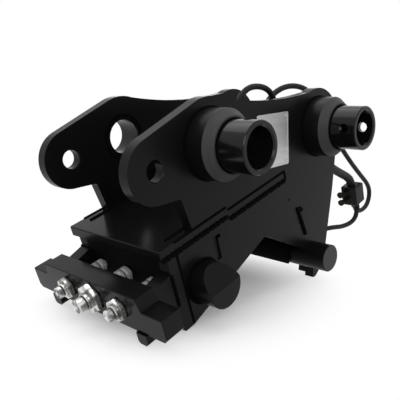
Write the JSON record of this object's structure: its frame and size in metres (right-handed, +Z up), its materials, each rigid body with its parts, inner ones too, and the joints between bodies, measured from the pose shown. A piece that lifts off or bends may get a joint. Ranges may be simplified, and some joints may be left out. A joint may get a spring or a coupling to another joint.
{
  "type": "hydraulic quick coupler",
  "caption": "Welded excavator quick coupler: tilted deck between two humped side plates, front shaft, side-locking hydraulic pins, face-coupling beam and hoses.",
  "frame": {"origin": "centre of the stick pin's bore, midway between the side plates", "axes": "+X along the stick pin's bore towards the long-sleeved side, +Y from the stick pin towards the link pin, +Z up"},
  "size_m": [0.5045, 1.0971, 0.5155],
  "materials": {
    "black_paint": "satin black paint over welded plate",
    "ground_steel": "hard-chromed and ground",
    "plated_fitting": "zinc-nickel plated, turned",
    "plated_pipe": "zinc plated pipe",
    "hose_rubber": "ribbed black hose cover",
    "seal_rubber": "moulded",
    "plug_plastic": "moulded, dark olive",
    "bronze_gland": "machined bronze",
    "blackened_steel": "machined and blackened"
  },
  "bodies": {
    "frame": {"beam_arm_left": "black_paint", "beam_arm_right": "black_paint", "belly_plate": "black_paint", "connector_block": "blackened_steel", "coupling_adapter_centre": "plated_fitting", "coupling_adapter_left": "plated_fitting", "coupling_adapter_right": "plated_fitting", "coupling_beam": "black_paint", "coupling_centre": "plated_fitting", "coupling_left": "plated_fitting", "coupling_nut_centre": "plated_fitting", "coupling_nut_left": "plated_fitting", "coupling_nut_right": "plated_fitting", "coupling_right": "plated_fitting", "deck_front_plate": "black_paint", "deck_rear_plate": "black_paint", "dust_plugs": "plug_plastic", "front_bulkhead": "black_paint", "front_shaft": "black_paint", "guide_lug_left": "black_paint", "guide_lug_right": "black_paint", "hose_ports": "plated_fitting", "link_collar_left": "black_paint", "link_collar_right": "black_paint", "link_sleeve_left": "black_paint", "link_sleeve_right": "black_paint", "lock_anchor": "black_paint", "lock_guide_left": "black_paint", "lock_guide_right": "black_paint", "lock_hose": "hose_rubber", "lock_piston_left": "ground_steel", "lock_piston_right": "ground_steel", "lock_rod": "ground_steel", "lock_shroud": "black_paint", "loop_hose": "hose_rubber", "manifold": "blackened_steel", "middle_rib": "black_paint", "oil_pipe_centre": "plated_pipe", "oil_pipe_left": "plated_pipe", "oil_pipe_right": "plated_pipe", "pipe_junction": "blackened_steel", "piston_seal_left": "seal_rubber", "piston_seal_right": "seal_rubber", "pressure_hose": "hose_rubber", "rear_rib": "black_paint", "return_hose": "hose_rubber", "side_plate_left": "black_paint", "side_plate_right": "black_paint", "stick_collar_left": "black_paint", "stick_collar_right": "black_paint", "stick_sleeve_left": "black_paint", "stick_sleeve_right": "black_paint"},
    "lock_pin_right": {"lock_pin_right": "blackened_steel", "lock_gland_right": "bronze_gland"},
    "lock_pin_left": {"lock_pin_left": "blackened_steel", "lock_gland_left": "bronze_gland"},
    "poppet_left": {"coupling_poppet_left": "ground_steel"},
    "poppet_centre": {"coupling_poppet_centre": "ground_steel"},
    "poppet_right": {"coupling_poppet_right": "ground_steel"}
  },
  "joints": [
    {"name": "lock_right_slide", "type": "slide", "parent": "frame", "child": "lock_pin_right", "axis": [1, 0, 0], "range_m": [-0.058, 0]},
    {"name": "lock_left_slide", "type": "slide", "parent": "frame", "child": "lock_pin_left", "axis": [-1, 0, 0], "range_m": [-0.058, 0]},
    {"name": "poppet_left_slide", "type": "slide", "parent": "frame", "child": "poppet_left", "axis": [0, 0.9537, 0.3007], "range_m": [0, 0.006], "stiffness_N_per_m": 600},
    {"name": "poppet_centre_slide", "type": "slide", "parent": "frame", "child": "poppet_centre", "axis": [0, 0.9537, 0.3007], "range_m": [0, 0.006], "stiffness_N_per_m": 600},
    {"name": "poppet_right_slide", "type": "slide", "parent": "frame", "child": "poppet_right", "axis": [0, 0.9537, 0.3007], "range_m": [0, 0.006], "stiffness_N_per_m": 600}
  ],
  "couplings": [
    {"joint": "lock_left_slide", "follows": "lock_right_slide", "ratio": 1}
  ]
}
